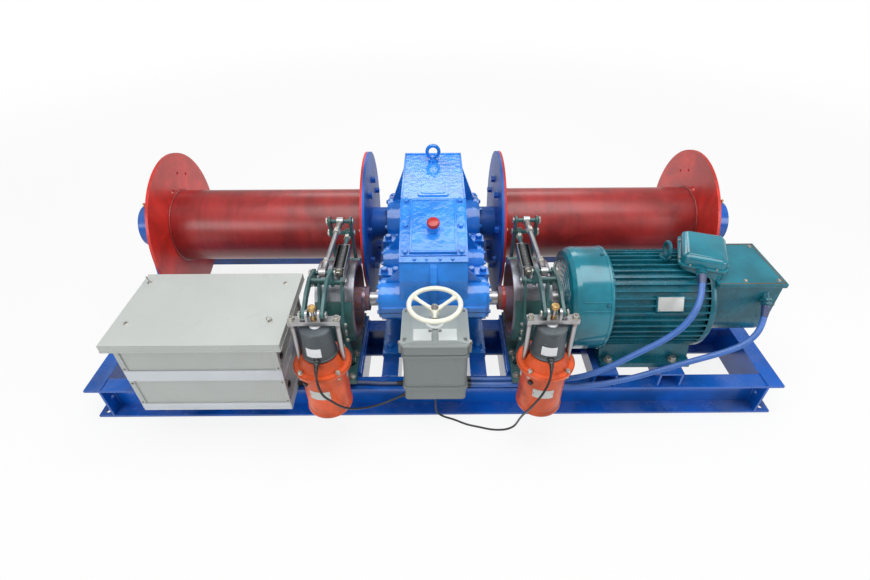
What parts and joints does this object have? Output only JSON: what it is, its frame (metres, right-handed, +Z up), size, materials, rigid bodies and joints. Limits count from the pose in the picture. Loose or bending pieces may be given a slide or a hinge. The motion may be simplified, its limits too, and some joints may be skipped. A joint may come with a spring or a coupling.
{
  "type": "twin-drum electric winch",
  "caption": "Electric winch on a channel frame: a reducer drives two rope drums on one shaft, with thruster brakes, a slip-ring motor, a hand controller and a resistor box.",
  "frame": {"origin": "middle of the four anchor holes, on the underside of the frame", "axes": "+X along the drums towards the motor's side, +Y from the operator's side to the drums, +Z up"},
  "size_m": [2.732, 1.3578, 0.8054],
  "materials": {
    "vent_red": "moulded cap",
    "frame_blue": "gloss paint over welded steel",
    "reducer_blue": "thick gloss paint on cast iron",
    "drum_red": "red oxide primer, worn",
    "flange_red": "red oxide primer",
    "flange_blue": "gloss paint",
    "bare_steel": "turned steel with a light film of rust",
    "wheel_steel": "turned cast iron",
    "brake_green": "green-grey enamel",
    "spring_black": "black enamel",
    "thruster_orange": "orange enamel",
    "thruster_grey": "grey enamel",
    "motor_teal": "gloss enamel on cast iron",
    "box_grey": "powder coat",
    "controller_grey": "powder coat",
    "handwheel_cream": "moulded",
    "hose_blue": "braided hose",
    "hose_dark": "plain hose",
    "lead_black": "sheathed lead"
  },
  "bodies": {
    "base": {"brake_base_left": "brake_green", "brake_base_right": "brake_green", "brake_lead_left": "lead_black", "brake_lead_right": "lead_black", "brake_seats": "frame_blue", "controller_body": "controller_grey", "controller_lid": "controller_grey", "frame_front_channel": "frame_blue", "frame_left_channel": "frame_blue", "frame_rear_channel": "frame_blue", "frame_right_channel": "frame_blue", "inner_channels": "frame_blue", "motor_cowl": "motor_teal", "motor_frame": "motor_teal", "motor_supports": "frame_blue", "pedestal_cap_left": "frame_blue", "pedestal_cap_right": "frame_blue", "pedestal_left": "frame_blue", "pedestal_right": "frame_blue", "reducer_bearing_caps": "reducer_blue", "reducer_cover": "reducer_blue", "reducer_lower_case": "reducer_blue", "reducer_upper_case": "reducer_blue", "reducer_vent": "vent_red", "resistor_box": "box_grey", "resistor_box_cover": "box_grey", "resistor_hose": "hose_dark", "resistor_rail": "frame_blue", "rotor_hose": "hose_blue", "slip_ring_housing": "motor_teal", "slip_ring_lid": "motor_teal", "stator_hose": "hose_blue", "terminal_box": "motor_teal", "thruster_body_left": "thruster_orange", "thruster_body_right": "thruster_orange", "thruster_head_left": "thruster_grey", "thruster_head_right": "thruster_grey"},
    "drums": {"drum_barrel_left": "drum_red", "drum_barrel_right": "drum_red", "drum_drive_flange_left": "flange_blue", "drum_drive_flange_right": "flange_blue", "drum_outer_flange_left": "flange_red", "drum_outer_flange_right": "flange_red", "drum_shaft": "bare_steel"},
    "input_train": {"brake_wheel_left": "wheel_steel", "brake_wheel_right": "wheel_steel", "input_shaft": "bare_steel", "motor_shaft": "bare_steel"},
    "controller_wheel": {"controller_handwheel": "handwheel_cream"},
    "front_arm_left": {"brake_front_arm_left": "brake_green", "brake_spring_left": "spring_black"},
    "rear_arm_left": {"brake_rear_arm_left": "brake_green"},
    "lever_left": {"brake_lever_left": "brake_green"},
    "pull_rod_left": {"brake_pull_rod_left": "bare_steel"},
    "lifter_left": {"thruster_crosshead_left": "bare_steel"},
    "front_arm_right": {"brake_front_arm_right": "brake_green", "brake_spring_right": "spring_black"},
    "rear_arm_right": {"brake_rear_arm_right": "brake_green"},
    "lever_right": {"brake_lever_right": "brake_green"},
    "pull_rod_right": {"brake_pull_rod_right": "bare_steel"},
    "lifter_right": {"thruster_crosshead_right": "bare_steel"}
  },
  "joints": [
    {"name": "drum_spin", "type": "hinge", "parent": "base", "child": "drums", "pos_m": [0, 0.226, 0.428], "axis": [1, 0, 0], "continuous": true},
    {"name": "input_spin", "type": "hinge", "parent": "base", "child": "input_train", "pos_m": [0, -0.34, 0.428], "axis": [1, 0, 0], "continuous": true},
    {"name": "controller_turn", "type": "hinge", "parent": "base", "child": "controller_wheel", "pos_m": [0.004, -0.527, 0.553], "axis": [0, 0, 1], "range_deg": [-110, 110]},
    {"name": "thruster_lift_left", "type": "slide", "parent": "base", "child": "lifter_left", "axis": [0, 0, 1], "range_m": [0, 0.04], "stiffness_N_per_m": 2500, "springref_m": -0.02},
    {"name": "front_arm_open_left", "type": "hinge", "parent": "base", "child": "front_arm_left", "pos_m": [-0.36, -0.47, 0.224], "axis": [1, 0, 0], "range_deg": [0, 0.65]},
    {"name": "rear_arm_open_left", "type": "hinge", "parent": "base", "child": "rear_arm_left", "pos_m": [-0.36, -0.21, 0.224], "axis": [-1, 0, 0], "range_deg": [0, 0.65]},
    {"name": "lever_swing_left", "type": "hinge", "parent": "front_arm_left", "child": "lever_left", "pos_m": [-0.383, -0.462, 0.602], "axis": [-1, 0, 0], "range_deg": [0, 13.5]},
    {"name": "pull_rod_swing_left", "type": "hinge", "parent": "rear_arm_left", "child": "pull_rod_left", "pos_m": [-0.36, -0.165, 0.672], "axis": [1, 0, 0], "range_deg": [0, 0.9]},
    {"name": "thruster_lift_right", "type": "slide", "parent": "base", "child": "lifter_right", "axis": [0, 0, 1], "range_m": [0, 0.04], "stiffness_N_per_m": 2500, "springref_m": -0.02},
    {"name": "front_arm_open_right", "type": "hinge", "parent": "base", "child": "front_arm_right", "pos_m": [0.36, -0.47, 0.224], "axis": [1, 0, 0], "range_deg": [0, 0.65]},
    {"name": "rear_arm_open_right", "type": "hinge", "parent": "base", "child": "rear_arm_right", "pos_m": [0.36, -0.21, 0.224], "axis": [-1, 0, 0], "range_deg": [0, 0.65]},
    {"name": "lever_swing_right", "type": "hinge", "parent": "front_arm_right", "child": "lever_right", "pos_m": [0.383, -0.462, 0.602], "axis": [-1, 0, 0], "range_deg": [0, 13.5]},
    {"name": "pull_rod_swing_right", "type": "hinge", "parent": "rear_arm_right", "child": "pull_rod_right", "pos_m": [0.36, -0.165, 0.672], "axis": [1, 0, 0], "range_deg": [0, 0.9]}
  ],
  "couplings": [
    {"joint": "input_spin", "follows": "drum_spin", "ratio": 31.5},
    {"joint": "front_arm_open_left", "follows": "thruster_lift_left", "rad_per_m": 0.231},
    {"joint": "rear_arm_open_left", "follows": "thruster_lift_left", "rad_per_m": 0.231},
    {"joint": "lever_swing_left", "follows": "thruster_lift_left", "rad_per_m": 5.417},
    {"joint": "pull_rod_swing_left", "follows": "thruster_lift_left", "rad_per_m": 0.327},
    {"joint": "front_arm_open_right", "follows": "thruster_lift_right", "rad_per_m": 0.231},
    {"joint": "rear_arm_open_right", "follows": "thruster_lift_right", "rad_per_m": 0.231},
    {"joint": "lever_swing_right", "follows": "thruster_lift_right", "rad_per_m": 5.417},
    {"joint": "pull_rod_swing_right", "follows": "thruster_lift_right", "rad_per_m": 0.327}
  ]
}
